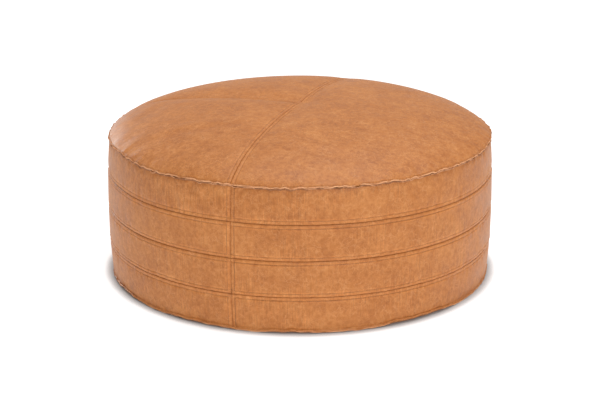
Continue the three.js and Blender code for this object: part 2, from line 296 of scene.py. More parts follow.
# Smooth value of a grid of moves between its points; wrap closes it across its columns.
def sampleMoves(moves, rowAt, columnAt, wrap):
    rowFloor = np.clip(np.floor(rowAt).astype(int), 0, moves.shape[0] - 2)
    columnFloor = np.floor(columnAt).astype(int)
    if not wrap:
        columnFloor = np.clip(columnFloor, 0, moves.shape[1] - 2)
    rowWeights = cubicWeights(rowAt - rowFloor)
    columnWeights = cubicWeights(columnAt - columnFloor)
    total = np.zeros(np.shape(rowAt) + (3,))
    for rowStep in range(4):
        r = np.clip(rowFloor + rowStep - 1, 0, moves.shape[0] - 1)
        for columnStep in range(4):
            c = columnFloor + columnStep - 1
            c = c % moves.shape[1] if wrap else np.clip(c, 0, moves.shape[1] - 1)
            weight = rowWeights[rowStep] * columnWeights[columnStep]
            total += moves[r, c] * weight[..., None]
    return total


seatShift = seatMoves()
wallShift = wallMoves()
print("cloth forms swollen", np.abs(seatShift).max(), np.abs(wallShift).max())


# Broad, shallow hollows that use leaves, as (azimuth, height, width, height of the hollow, depth).
wallDents = (
    (-62, 0.295, 0.055, 0.045, 2.2),
    (-84, 0.150, 0.045, 0.020, 1.4),
    (-128, 0.120, 0.090, 0.050, 1.6),
    (-20, 0.210, 0.080, 0.060, 2.0),
    (25, 0.130, 0.090, 0.060, 2.2),
    (95, 0.230, 0.100, 0.060, 2.0),
    (150, 0.160, 0.110, 0.070, 2.4),
    (205, 0.210, 0.070, 0.060, 1.8),
)


def angleGap(angle, other):
    return (angle - other + math.pi) % (2 * math.pi) - math.pi


def wallPoint(angle, height):
    upward = wallShift.shape[0] - 1
    around = wallShift.shape[1]
    rowAt = (height - rowEdges[0]) / (rowEdges[-1] - rowEdges[0]) * upward
    turn = (angle - math.radians(cover["seamTurn"])) / (2 * math.pi) % 1
    moved = sampleMoves(wallShift, np.clip(rowAt, 0, upward), turn * around, True)
    inward = np.zeros(np.shape(angle))
    for azimuth, level, wide, tall, depth in wallDents:
        gap = angleGap(angle, math.radians(azimuth)) * cover["widestRadius"] / wide
        rise = (height - level) / tall
        inward = inward + depth * millimetre * np.exp(-gap ** 2 - rise ** 2)
    return polar(wallRadius(height) - inward, angle, height) + moved


# Soft folds in the seat, as (x, y, direction in degrees, half length, half width, height in mm).
seatFolds = (
    (-0.231, -0.181, 4, 0.10, 0.016, 1.3),
    (-0.352, 0.020, 62, 0.08, 0.018, 1.0),
    (0.060, -0.330, -12, 0.09, 0.016, 0.9),
    (0.250, 0.120, 35, 0.10, 0.020, 0.9),
    (0.180, -0.160, 20, 0.07, 0.015, 0.6),
)


def foldHeight(x, y):
    total = 0.0
    for middleX, middleY, direction, long, wide, size in seatFolds:
        turn = math.radians(direction)
        ahead = ((x - middleX) * math.cos(turn) + (y - middleY) * math.sin(turn)) / long
        aside = ((y - middleY) * math.cos(turn) - (x - middleX) * math.sin(turn)) / wide
        total = total + size * millimetre * aside * np.exp(0.5 - ahead ** 2 - 0.5 * aside ** 2)
    return total


# The seams draw the seat down into soft valleys that end before the rim.
def seamSink(x, y):
    radius, angle = np.hypot(x, y), np.arctan2(y, x)
    total = 0.0
    for seamAngle, depth in zip(seamAngles, cover["valleys"]):
        turn = angleGap(angle, seamAngle)
        away = np.where(np.abs(turn) < math.pi / 2, radius * np.abs(np.sin(turn)), radius)
        total = total + (depth * np.exp(-(away / cover["valleyWidth"]) ** 2)) ** 4
    return total ** 0.25 * smoothStep((0.40 - radius) / 0.16)


def seatPoint(distance, angle):
    points, facing, radius = crownPoint(distance, angle)
    x, y = points[..., 0], points[..., 1]
    points[..., 2] += foldHeight(x, y) - seamSink(x, y)
    turn = angle - math.radians(cover["seamTurn"])
    share = np.clip(distance / crownLength, 0, 1)
    x = share * np.cos(turn)
    y = share * np.sin(turn)
    wide = 2 + x * x - y * y
    tall = 2 - x * x + y * y
    root = 2 * math.sqrt(2)
    u = 0.5 * (np.sqrt(np.maximum(wide + root * x, 0)) - np.sqrt(np.maximum(wide - root * x, 0)))
    v = 0.5 * (np.sqrt(np.maximum(tall + root * y, 0)) - np.sqrt(np.maximum(tall - root * y, 0)))
    cells = seatShift.shape[0] - 1
    moved = sampleMoves(seatShift, (v + 1) / 2 * cells, (u + 1) / 2 * cells, False)
    return points + moved, facing, radius


# Sewn edges: the leather rolls down into the joint, lies doubled over its turned edge and dips
# where the topstitching pulls it in

seam = {
    "roll": 1.8 * millimetre,
    "drop": 1.1 * millimetre,
    "lift": 0.9 * millimetre,
    "topstitch": 8.5 * millimetre,
    "groove": 1.0 * millimetre,
    "grooveWidth": 1.3 * millimetre,
    "gap": 0.15 * millimetre,
    "pucker": 0.4 * millimetre,
}
edgeSteps = np.array([0, 0.1, 0.35, 0.75, 1.35, 2.1, 3.4, 5, 6.2, 7, 7.6, 8.1, 8.5, 8.9, 9.4,
                      10, 11, 13, 16, 20]) * millimetre
cellSize = 5.2 * millimetre


def seamRelief(distance, pull=1.0):
    roll = seam["roll"]
    inside = np.clip(roll - distance, 0, roll)
    rolled = np.sqrt(np.maximum(roll ** 2 - inside ** 2, 0)) - roll
    rolled = rolled * 0.8 - seam["drop"] * (distance < 0.05 * millimetre)
    band = np.clip(distance / seam["topstitch"], 0, 1)
    lifted = np.sin(math.pi * band) ** 0.8
    beyond = np.exp(-((distance - seam["topstitch"] - 0.0035) / 0.0022) ** 2)
    dip = np.exp(-((distance - seam["topstitch"]) / seam["grooveWidth"]) ** 2)
    return rolled + seam["lift"] * (lifted + 0.25 * beyond) - seam["groove"] * pull * dip


# How a seam's colour is shifted: below 0 is painted shade in the joint and the stitch groove, partly wax
# and dust, and above 0 is painted highlight on the raised edges beside them, partly rubbing.
def seamShadeAndWear(distance, pull=1.0, waxAndShade=1.0):
    joint = np.exp(-(distance / 0.0012) ** 2)
    groove = np.exp(-((distance - seam["topstitch"]) / 0.0012) ** 2)
    rubbedAndHighlit = np.exp(-((distance - 0.0050) / 0.0022) ** 2) + np.exp(-((distance - 0.0114) / 0.0016) ** 2)
    return 0.33 * rubbedAndHighlit - 0.3 * waxAndShade * joint - 0.5 * pull * groove


# How hard the topstitching pulls: it varies along the seam, and is less above or left of the joint.
def stitchPull(along, isStrongSide):
    wave = ripple(along, ((760, 0.9), (330, 0.7)), 91) / millimetre
    return np.clip(0.6 + 0.45 * wave, 0.15, 1) * np.where(isStrongSide, 1.0, 0.35)


# Small tucks across the leather just beyond the topstitching.
def puckers(along, distance):
    total = np.sin(570 * along) * 0.4 + np.sin(371 * along + 1.3) * 0.6
    total = total + np.sin(243 * along + 2.9) * 0.9 + np.sin(151 * along + 0.6) * 1.3
    fade = smoothStep((distance - 0.003) / 0.006) * np.exp(-np.maximum(distance - 0.009, 0) / 0.012)
    return seam["pucker"] * total * 0.5 * fade


def edgeSpaced(length, lowSeam, highSeam):
    plain = np.array([0.0, 1.2, 2.6, 4.4]) * millimetre
    low = edgeSteps if lowSeam else plain
    high = edgeSteps if highSeam else plain
    inner = length - low[-1] - high[-1]
    count = max(1, round(inner / cellSize))
    middle = low[-1] + inner * np.arange(1, count) / count
    return np.concatenate([low, middle, length - high[::-1]])


# Raw seam edges: they ripple together, and part from each other here and there

raw = {
    "rimSag": ((-166, -1.4), (-153, 2.2), (-144, -3.1), (-134, -5.0), (-124, -2.2), (-110, -1.5),
               (-97, -3.2), (-84, -0.6), (-73, -1.7), (-65, 0.1), (-59, -2.6), (-50, 0.6),
               (-23, -0.5), (-15, 3.0), (0, 0.5), (12, -2.5), (30, -1.5), (60, 0.5), (100, -1.5),
               (140, -0.5), (158, -1.5), (176, -3.5)),
    "footLift": ((-174, 0.5), (-163, 2.5), (-153, 5.4), (-137, 0.6), (-126, 4.1), (-115, 3.2),
                 (-104, 0.2), (-92, 5.6), (-84, 1.3), (-78, 2.1), (-70, 0.2), (-62, 7.5), (-55, 6.2),
                 (-47, 7.2), (-38, 0.3), (-20, 0.3), (-6, 2.4), (20, 0.5), (60, 3.5), (95, 0.5),
                 (130, 4.0), (160, 0.8)),
    "rimWave": ((64, 0.6), (43, 0.8), (30, 0.75), (21, 0.6)),
    "rimGap": ((62, 1.1), (38, 1.2), (24, 1.0)),
    "reach": ((90, 0.6), (35, 0.6), (17, 0.35)),
    "footWave": ((66, 0.7), (38, 0.5)),
    "widestGap": 2.2 * millimetre,
}


# Heights round the pouf, from (azimuth in degrees, height in millimetres) pairs.
def profileRound(angle, pairs):
    turn, height = np.radians([p[0] for p in pairs]), np.array([p[1] for p in pairs])
    order = np.argsort(turn % (2 * math.pi))
    turn, height = (turn % (2 * math.pi))[order], height[order]
    fine = np.linspace(0, 2 * math.pi, 721)[:-1]
    level = np.interp(fine, turn, height, period=2 * math.pi)
    blur = np.hanning(13) / np.hanning(13).sum()
    level = np.convolve(np.concatenate([level[-6:], level, level[:6]]), blur, "valid")
    return np.interp(angle % (2 * math.pi), fine, level, period=2 * math.pi) * millimetre


def rimWave(angle, share=1):
    return share * ripple(angle, raw["rimWave"], 11) + profileRound(angle, raw["rimSag"])


def rimGap(angle):
    return np.clip(ripple(angle, raw["rimGap"], 23) - 0.7 * millimetre, 0, raw["widestGap"])


def footWave(angle):
    wave = ripple(angle, raw["footWave"], 37) + profileRound(angle, raw["footLift"])
    return np.clip(wave, 0, 9 * millimetre)


# The finished surface, with its seams, and the way that it faces
def wallSurface(angle, height):
    turns = np.array([angleGap(angle, a) + 0 * height for a in seamAngles])
    side = np.abs(turns).min(axis=0)
    isRight = (np.abs(turns) == side) & (turns > 0)
    side = np.maximum(side * cover["widestRadius"] - seam["gap"], 0)
    joints = np.array([np.abs(height - edge) + 0 * angle for edge in rowEdges[1:-1]])
    row = np.maximum(joints.min(axis=0) - seam["gap"], 0)
    isBelow = (rowEdges[1] - height) % (rowEdges[2] - rowEdges[1]) < 0.5 * (rowEdges[2] - rowEdges[1])
    sidePull = np.where(isRight.any(axis=0), 1.3, 0.35)
    rowPull = stitchPull(angle + 2.1 * joints.argmin(axis=0), isBelow)
    along = angle * cover["widestRadius"] + 0.31 * joints.argmin(axis=0)
    relief = 0.55 * seamRelief(side, sidePull) + seamRelief(row, rowPull)
    relief = relief + puckers(height, side) + puckers(along, row)
    toRim = rowEdges[-1] - coverLeather - cover["rimFillet"] - height
    relief = relief + 1.8 * puckers(along, toRim + 0.004)
    points = wallPoint(angle, height) + polar(1.0, angle, 0.0) * relief[..., None]
    toFoot = height - rowEdges[0] - coverLeather - cover["footFillet"]
    points[..., 2] += 0.35 * np.exp(-np.maximum(toRim, 0) / 0.012) * ripple(angle, raw["rimWave"], 11)
    points[..., 2] += np.exp(-np.maximum(toRim, 0) / 0.05) * profileRound(angle, raw["rimSag"])
    points[..., 2] += 0.5 * np.exp(-np.maximum(toFoot, 0) / 0.016) * footWave(angle)
    tones = np.where(side < row, seamShadeAndWear(side, sidePull, 0.4), seamShadeAndWear(row, rowPull))
    return points, polar(1.0, angle, 0.0), tones


def seatSurface(distance, angle):
    points, facing, radius = seatPoint(distance, angle)
    away = []
    for seamAngle in seamAngles:
        turn = angleGap(angle, seamAngle)
        away.append(np.where(np.abs(turn) < math.pi / 2, radius * np.abs(np.sin(turn)), radius))
    side = np.maximum(np.min(away, axis=0) - seam["gap"] * np.minimum(radius / 0.07, 1), 0)
    # The painted shade along the seat's seams, partly wax, is strongest along the short seam and fades
    # along the long one towards the rim; the painted highlight beside them is halved.
    longSeamShade = 0.2 + 0.4 * smoothStep((crownLength - distance) / 0.2)
    waxed = np.where(np.argmin(away, axis=0) == 2, 2.6, longSeamShade)
    toRim = crownLength - distance
    relief = seamRelief(side, 0.45) + puckers(radius + 0 * angle, side)
    relief = relief + 1.1 * puckers(angle * cover["crownRadius"], toRim + 0.004)
    points = points + facing * relief[..., None]
    points[..., 2] += 0.35 * np.exp(-toRim / 0.016) * ripple(angle, raw["rimWave"], 11)
    points[..., 2] += np.exp(-toRim / 0.06) * profileRound(angle, raw["rimSag"])
    tones = seamShadeAndWear(side, 0.7)
    return points, facing, tones * np.where(tones < 0, waxed, 0.5)


# The last stretch of a seat or wall piece: a fillet, then the raw leaf that stands out. The rise
# is 1 where the leaf's outside faces up, and -1 where it faces down.
def leafProfile(fillet, reach, rise):
    bend = np.linspace(0, math.pi / 2, 7)[1:]
    flat = np.linspace(fillet, reach, 4)[1:]
    out = np.concatenate([fillet * (1 - np.cos(bend)), flat])
    up = np.concatenate([rise * fillet * (1 - np.sin(bend)), 0 * flat])
    return out[:, None], up[:, None], ((out / reach) ** 1.5)[:, None]


# Leather pieces

hideNumber = iter(range(1, 60))


def dress(piece, *materials):
    piece.data.materials.clear()
    for material in materials:
        piece.data.materials.append(material)


# A single skin laid over the points, thickened inwards; rawFrom is the radius where its cut edge
# is bare.
def coverPiece(name, points, tones, outward, rawFrom, *materials):
    piece, column, row = gridSheet(name, points.shape[1] - 1, points.shape[0] - 1)
    writePoints(piece.data, points[row, column])
    middle = piece.data.polygons[len(piece.data.polygons) // 2]
    if middle.normal.dot(outward(middle.center)) < 0:
        piece.data.flip_normals()
    dress(piece, *materials)
    for attribute, values in (("tone", tones[row, column]), ("hide", next(hideNumber) + 0.0 * row)):
        layer = piece.data.attributes.new(attribute, "FLOAT", "POINT")
        layer.data.foreach_set("value", values.astype(np.float32))
    bpy.ops.object.mode_set(mode="EDIT")
    bpy.ops.mesh.select_all(action="SELECT")
    bpy.ops.mesh.remove_doubles(threshold=1e-6)
    bpy.ops.object.mode_set(mode="OBJECT")
    applyModifier(piece, "SOLIDIFY", thickness=coverLeather, offset=-1, use_rim=True,
                  material_offset_rim=1)
    choose(piece)
    bpy.ops.object.shade_smooth_by_angle(angle=math.radians(50))
    for face in piece.data.polygons:
        if face.material_index == 1 and math.hypot(face.center.x, face.center.y) < rawFrom:
            face.material_index = 0
    return piece


def seatPanel(name, start, sweep):
    inner = np.arange(0, crownLength - 0.024, cellSize)
    last = np.array([19, 15, 12, 9.5, 7.5, 5.8, 4.4, 3.2, 2.1, 1, 0]) * millimetre
    distances = np.concatenate([inner, crownLength - last])
    out, up, share = leafProfile(cover["seatFillet"], cover["seatLeaf"], 1)
    radii = np.interp(distances, crownLengths, crownRadii)
    radii = np.concatenate([radii, cover["crownRadius"] + out[:, 0]])
    span = math.radians(sweep)
    count = round(span * cover["crownRadius"] / cellSize) - 8
    turns = []
    for radius in radii:
        near = np.arcsin((edgeSteps + seam["gap"]) / max(radius, 0.07))
        middle = near[-1] + (span - 2 * near[-1]) * np.arange(1, count) / count
        turns.append(np.concatenate([near, middle, span - near[::-1]]) + math.radians(start))
    turns = np.array(turns)
    crown = turns[:len(distances)]
    points, _, tones = seatSurface(distances[:, None] + 0 * crown, crown)
    edge = turns[len(distances):]
    radius = cover["crownRadius"] + out + ripple(edge, raw["reach"], 51) * share
    height = rimTop + up + rimWave(edge, 0.35 + 0.65 * share) + 0.3 * rimGap(edge) * share
    leaf = polar(radius, edge, height)
    plain = seatPoint(distances[-1:, None] + 0 * crown[-1:], crown[-1:])[0]
    leaf += (points[-1:] - plain) * (1 - share[..., None]) ** 2 * (1, 1, 0)
    tones = np.concatenate([tones, 0 * edge])
    return coverPiece("seat_panel_" + name + "_leather", np.concatenate([points, leaf]), tones,
                      lambda centre: Vector((0, 0, 1)), cover["crownRadius"] + 0.5 * cover["seatLeaf"],
                      tanLeather, rawEdge)


def wallStrip(row, name, start, sweep):
    index = rows.index(row)
    low, high = rowEdges[index], rowEdges[index + 1]
    isFoot, isRim = index == 0, index == len(rows) - 1
    bottom = low + (coverLeather + cover["footFillet"] if isFoot else seam["gap"])
    top = high - (coverLeather + cover["rimFillet"] if isRim else seam["gap"])
    heights = bottom + edgeSpaced(top - bottom, not isFoot, not isRim)
    gap = seam["gap"] / cover["widestRadius"]
    across = edgeSpaced((math.radians(sweep) - 2 * gap) * cover["widestRadius"], True, True)
    turn = math.radians(start) + gap + across / cover["widestRadius"]
    turnGrid, heightGrid = np.meshgrid(turn, heights)
    points, _, tones = wallSurface(turnGrid, heightGrid)
    rawFrom = 1.0
    if isRim:
        leaf = leafRows(turn, points[-1:], high - coverLeather, "rim")
        points = np.concatenate([points, leaf])
        # The rim's lower leaf lies under the seat's leaf: its tone of -1.1 darkens it as painted shade, in
        # the leather and on its cut edge.
        tones = np.concatenate([tones, 0 * leaf[..., 0] - 1.1])
        rawFrom = cover["shoulderRadius"] + 0.6 * cover["rimLeaf"]
    if isFoot:
        leaf = leafRows(turn, points[:1], low + coverLeather, "foot")
        points = np.concatenate([leaf[::-1], points])
        tones = np.concatenate([0 * leaf[..., 0] + 0.15, tones])
    return coverPiece(f"wall_{row}_{name}_leather", points, tones,
                      lambda centre: Vector((centre.x, centre.y, 0)), rawFrom, tanLeather, rawEdge)


def leafRows(turn, edge, level, place):
    isRim = place == "rim"
    out, up, share = leafProfile(cover[place + "Fillet"], cover[place + "Leaf"], -1 if isRim else 1)
    angle = np.repeat(turn[None, :], len(out), 0)
    wave = rimWave(angle, 0.35 + 0.65 * share) if isRim else footWave(angle) * (0.5 + 0.5 * share)
    gap = rimGap(angle) * share if isRim else 0
    start = wallRadius(np.array(level))
    drawn = np.hypot(edge[..., 0], edge[..., 1]) - start
    seed = 77 if isRim else 78
    radius = start + drawn * (1 - share) ** 2 + out + ripple(angle, raw["reach"], seed) * share
    return polar(radius, angle, level + up + wave - gap)


# Materials

def hexColour(code):
    parts = [int(code[i:i + 2], 16) / 255 for i in (0, 2, 4)]
    linear = [c / 12.92 if c <= 0.04045 else ((c + 0.055) / 1.055) ** 2.4 for c in parts]
    return (*linear, 1.0)


def addNode(tree, kind, settings=None, **links):
    node = tree.nodes.new("ShaderNode" + kind)
    for name, value in (settings or {}).items():
        if name in node.inputs and not hasattr(node, name):
            node.inputs[name].default_value = value
        else:
            setattr(node, name, value)
    for name, source in links.items():
        socket = node.inputs[int(name[1:])] if name[0] == "i" and name[1:].isdigit() else node.inputs[name]
        tree.links.new(source, socket)
    return node


def newMaterial(name):
    material = bpy.data.materials.new(name)
    material.use_nodes = True
    material.node_tree.nodes.clear()
    tree = material.node_tree
    shader = tree.nodes.new("ShaderNodeBsdfPrincipled")
    output = tree.nodes.new("ShaderNodeOutputMaterial")
    tree.links.new(shader.outputs["BSDF"], output.inputs["Surface"])
    return material, tree, shader


def ramp(tree, source, stops):
    node = addNode(tree, "ValToRGB", None, Fac=source)
    elements = node.color_ramp.elements
    while len(elements) < len(stops):
        elements.new(0.5)
    for element, (place, colour) in zip(elements, stops):
        element.position = place
        element.color = colour if isinstance(colour, tuple) else hexColour(colour)
    return node.outputs["Color"]


def mixColour(tree, mode, factor, first, second):
    node = addNode(tree, "Mix", {"data_type": "RGBA", "blend_type": mode})
    if isinstance(factor, (int, float)):
        node.inputs[0].default_value = factor
    else:
        tree.links.new(factor, node.inputs[0])
    for socket, value in ((node.inputs[6], first), (node.inputs[7], second)):
        if isinstance(value, (tuple, str)):
            socket.default_value = value if isinstance(value, tuple) else hexColour(value)
        else:
            tree.links.new(value, socket)
    return node.outputs[2]


def compute(tree, operation, first, second=None):
    node = addNode(tree, "Math", {"operation": operation})
    for socket, value in zip(node.inputs, (first, second)):
        if value is None:
            continue
        if isinstance(value, (int, float)):
            socket.default_value = value
        else:
            tree.links.new(value, socket)
    return node.outputs[0]


def noiseField(tree, vector, scale, detail=3.0, roughness=0.55, distortion=0.0):
    settings = {"Scale": scale, "Detail": detail, "Roughness": roughness, "Distortion": distortion}
    return addNode(tree, "TexNoise", settings, Vector=vector).outputs["Fac"]


# The value carried from one range to another.
def remap(tree, value, low, high, least=0.0, most=1.0):
    ends = {"From Min": low, "From Max": high, "To Min": least, "To Max": most}
    return addNode(tree, "MapRange", ends, Value=value).outputs[0]


# The colour darkened or lightened by a grey level.
def shade(tree, colour, level):
    grey = addNode(tree, "CombineColor", None, Red=level, Green=level, Blue=level).outputs[0]
    return mixColour(tree, "MULTIPLY", 1.0, colour, grey)


def addBump(tree, shader, strength, distance, height):
    bump = addNode(tree, "Bump", {"Strength": strength, "Distance": distance}, Height=height)
    tree.links.new(bump.outputs["Normal"], shader.inputs["Normal"])


leatherLook = {
    "pale": "CC864A",
    "middle": "BC753B",
    "deep": "A8632E",
    "crease": "DC9E68",
    "rough": 0.46,
}


# Waxed tan cowhide, vegetable tanned and tumbled: the wax pulls up in pale, broken lines where
# the hide has folded, and the dye lies deeper in cloudy patches.
def waxedTanLeather(name, look):
    material, tree, shader = newMaterial(name)
    place = addNode(tree, "TexCoord").outputs["Object"]
    hide = addNode(tree, "Attribute", {"attribute_name": "hide"}).outputs["Fac"]
    step = addNode(tree, "CombineXYZ", None, X=compute(tree, "MULTIPLY", hide, 1.37),
                   Y=compute(tree, "MULTIPLY", hide, 0.71), Z=compute(tree, "MULTIPLY", hide, 2.13))
    place = addNode(tree, "VectorMath", {"operation": "ADD"}, i0=place, i1=step.outputs[0]).outputs[0]
    # Clouds of dye about 110 mm, 35 mm and 9 mm across.
    broad = noiseField(tree, place, 9, 4, 0.6)
    blotch = noiseField(tree, place, 29, 5, 0.62, 0.4)
    mottle = noiseField(tree, place, 110, 4, 0.6)
    cloud = compute(tree, "ADD", compute(tree, "MULTIPLY", broad, 0.22),
                    compute(tree, "MULTIPLY", blotch, 0.33))
    cloud = compute(tree, "ADD", cloud, compute(tree, "MULTIPLY", mottle, 0.45))
    colour = ramp(tree, cloud, ((0.36, look["deep"]), (0.50, look["middle"]), (0.64, look["pale"])))
    # Pull-up lines: the borders of irregular cells about 26 mm and 9 mm across, broken up by noise.
    warp = addNode(tree, "TexNoise", {"Scale": 45.0, "Detail": 3.0}, Vector=place).outputs["Color"]
    warp = addNode(tree, "VectorMath", {"operation": "SCALE", "Scale": 0.022}, i0=warp).outputs[0]
    bent = addNode(tree, "VectorMath", {"operation": "ADD"}, i0=place, i1=warp).outputs[0]
    creases = []
    for scale, width, breaks in ((70.0, 0.06, 36.0), (190.0, 0.10, 60.0)):
        cells = addNode(tree, "TexVoronoi", {"feature": "DISTANCE_TO_EDGE", "Scale": scale}, Vector=bent)
        line = remap(tree, cells.outputs["Distance"], 0.0, width, 1.0, 0.0)
        gate = remap(tree, noiseField(tree, place, breaks, 2), 0.44, 0.57)
        creases.append(compute(tree, "MULTIPLY", line, gate))
    lines = compute(tree, "MAXIMUM", creases[0], compute(tree, "MULTIPLY", creases[1], 0.6))
    colour = mixColour(tree, "MIX", compute(tree, "MULTIPLY", lines, 0.42), colour, look["crease"])
    # Pores, about 1 mm apart, a little darker than the surface.
    pores = noiseField(tree, place, 900, 2)
    colour = shade(tree, colour, remap(tree, pores, 0.3, 0.7, 0.9, 1.06))
    # Fine streaks, about 2 mm apart and up the wall, in patches where the hide was stretched.
    drawn = addNode(tree, "VectorMath", {"operation": "MULTIPLY"}, i0=place)
    drawn.inputs[1].default_value = (1, 1, 0.05)
    streak = noiseField(tree, drawn.outputs[0], 430, 2, 0.6)
    patch = remap(tree, noiseField(tree, place, 10, 3), 0.44, 0.60, 0.15, 1.0)
    streak = compute(tree, "MULTIPLY", compute(tree, "SUBTRACT", streak, 0.5), patch)
    streak = compute(tree, "ADD", compute(tree, "MULTIPLY", streak, 0.75), 1.0)
    colour = shade(tree, colour, streak)
    # Painted shade, partly wax and dust, darkens the joints, stitch grooves and the rim's lower leaf, and
    # painted highlight, partly rubbing, lightens the raised edges beside the joints.
    tone = addNode(tree, "Attribute", {"attribute_name": "tone"}).outputs["Fac"]
    colour = shade(tree, colour, remap(tree, tone, -1.0, 1.0, 0.6, 1.4))
    tree.links.new(colour, shader.inputs["Base Color"])
    rough = remap(tree, blotch, 0.3, 0.7, look["rough"] - 0.07, look["rough"] + 0.09)
    rough = compute(tree, "ADD", rough, compute(tree, "MULTIPLY", lines, 0.06))
    tree.links.new(rough, shader.inputs["Roughness"])
    grain = addNode(tree, "TexVoronoi", {"feature": "SMOOTH_F1", "Scale": 620.0}, Vector=bent)
    height = compute(tree, "MULTIPLY", grain.outputs["Distance"], 0.35)
    height = compute(tree, "ADD", height, compute(tree, "MULTIPLY", mottle, 1.6))
    height = compute(tree, "SUBTRACT", height, compute(tree, "MULTIPLY", lines, 0.55))
    height = compute(tree, "ADD", height, compute(tree, "MULTIPLY", streak, 0.9))
    addBump(tree, shader, 0.35, 0.0009, height)
    shader.inputs["IOR"].default_value = 1.5
    shader.inputs["Specular IOR Level"].default_value = 0.3
    shader.inputs["Coat Weight"].default_value = 0.02
    shader.inputs["Coat Roughness"].default_value = 0.35
    return material


# The undyed split of the same hide: pale, matt and fibrous where it was cut.
def cutLeather():
    material, tree, shader = newMaterial("cut edge of tan leather")
    place = addNode(tree, "TexCoord").outputs["Object"]
    fibre = noiseField(tree, place, 700, 4, 0.7)
    streak = noiseField(tree, place, 60, 3)
    colour = ramp(tree, fibre, ((0.3, "DC9C6C"), (0.7, "F4BA8A")))
    stain = ramp(tree, streak, ((0.35, "C08A62"), (0.65, "FFFFFF")))
    colour = mixColour(tree, "MULTIPLY", 0.35, colour, stain)
    # Where the tone is below 0, chiefly on the rim's lower leaf, the cut edge is darkened towards brown in
    # patches: painted shade under the seat's leaf.
    tone = addNode(tree, "Attribute", {"attribute_name": "tone"}).outputs["Fac"]
    shadeUnderLeaf = remap(tree, tone, -1.1, 0.0, 0.85, 0.0)
    patch = remap(tree, streak, 0.42, 0.56, 0.25, 1.0)
    colour = mixColour(tree, "MIX", compute(tree, "MULTIPLY", shadeUnderLeaf, patch), colour, "7A4422")
    tree.links.new(colour, shader.inputs["Base Color"])
    shader.inputs["Roughness"].default_value = 0.85
    addBump(tree, shader, 0.5, 0.0005, fibre)
    return material


# Waxed linen thread: a tight twist of fibres, darkened by its wax.
def linenThread():
    material, tree, shader = newMaterial("waxed linen thread")
    place = addNode(tree, "TexCoord").outputs["Object"]
    fibre = noiseField(tree, place, 2600, 2)
    tree.links.new(ramp(tree, fibre, ((0.35, "A0683A"), (0.65, "C08550"))), shader.inputs["Base Color"])
    shader.inputs["Roughness"].default_value = 0.55
    return material


# Plain-woven cloth: two sets of threads that cross, at the given spacing, over and under.
def wovenCloth(name, light, dark, spacing, roughness):
    material, tree, shader = newMaterial(name)
    place = addNode(tree, "TexCoord").outputs["Object"]
    turns = math.pi / spacing
    split = addNode(tree, "SeparateXYZ", None, Vector=place)
    waves = [compute(tree, "SINE", compute(tree, "MULTIPLY", split.outputs[k], turns)) for k in range(3)]
    weave = compute(tree, "MULTIPLY", waves[0], waves[1])
    weave = compute(tree, "ADD", weave, compute(tree, "MULTIPLY", waves[2], 0.6))
    weave = remap(tree, weave, -1.4, 1.4)
    slub = noiseField(tree, place, 160, 3)
    tone = compute(tree, "ADD", compute(tree, "MULTIPLY", weave, 0.6), compute(tree, "MULTIPLY", slub, 0.4))
    tree.links.new(ramp(tree, tone, ((0.25, dark), (0.75, light))), shader.inputs["Base Color"])
    shader.inputs["Roughness"].default_value = roughness
    shader.inputs["Sheen Weight"].default_value = 0.15
    addBump(tree, shader, 0.5, 0.0003, weave)
    return material


# Soft filling: open cells in the foam, matted fibres in the wadding, at the given scale.
def softFilling(name, light, dark, scale, bumpDepth):
    material, tree, shader = newMaterial(name)
    place = addNode(tree, "TexCoord").outputs["Object"]
    cells = noiseField(tree, place, scale, 4, 0.7)
    tree.links.new(ramp(tree, cells, ((0.3, dark), (0.7, light))), shader.inputs["Base Color"])
    shader.inputs["Roughness"].default_value = 0.95
    shader.inputs["Subsurface Weight"].default_value = 0.1
    addBump(tree, shader, 0.6, bumpDepth, cells)
    return material


# Moulded nylon: smooth, slightly waxy, with a faint unevenness from drawing the wire.
def drawnNylon():
    material, tree, shader = newMaterial("brown nylon")
    place = addNode(tree, "TexCoord").outputs["Object"]
    tone = noiseField(tree, place, 300, 2)
    tree.links.new(ramp(tree, tone, ((0.3, "4A2F1E"), (0.7, "5F3F2A"))), shader.inputs["Base Color"])
    shader.inputs["Roughness"].default_value = 0.38
    shader.inputs["IOR"].default_value = 1.53
    return material


# Antique brass: tumbled, lacquered, and a little dull in its hollows.
def antiqueBrass():
    material, tree, shader = newMaterial("antique brass")
    place = addNode(tree, "TexCoord").outputs["Object"]
    worn = noiseField(tree, place, 260, 4, 0.6)
    tree.links.new(ramp(tree, worn, ((0.3, "7C5C2C"), (0.65, "B08D4C"))), shader.inputs["Base Color"])
    tree.links.new(remap(tree, worn, 0.0, 1.0, 0.24, 0.42), shader.inputs["Roughness"])
    shader.inputs["Metallic"].default_value = 1.0
    return material


tanLeather = waxedTanLeather("waxed tan leather", leatherLook)
baseLeather = waxedTanLeather("waxed tan leather of the base", {
    "pale": "C08250",
    "middle": "B07244",
    "deep": "9C6138",
    "crease": "CC9868",
    "rough": 0.55,
})
rawEdge = cutLeather()
waxedThread = linenThread()
canvas = wovenCloth("unbleached cotton canvas", "EFE6D2", "D2C4A8", 1.1 * millimetre, 0.9)
zipTape = wovenCloth("brown polyester zip tape", "6A4730", "4C3120", 0.7 * millimetre, 0.75)
foamMaterial = softFilling("cream polyurethane foam", "F4E9C6", "DCCB9C", 900, 0.0006)
waddingMaterial = softFilling("white polyester wadding", "FAF8F4", "E4E0D8", 240, 0.0012)
nylon = drawnNylon()
brass = antiqueBrass()


# Building the cover

for name, (start, sweep) in columns.items():
    panel = seatPanel(name, start, sweep)
    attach(panel, "pouf")
    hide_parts("seat_panel_" + name)
    for row in rows:
        strip = wallStrip(row, name, start, sweep)
        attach(strip, "pouf")
        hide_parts(f"wall_{row}_{name}")
print("cover laid")


# Base: two half discs that lie on the floor and rise to a well along the zip

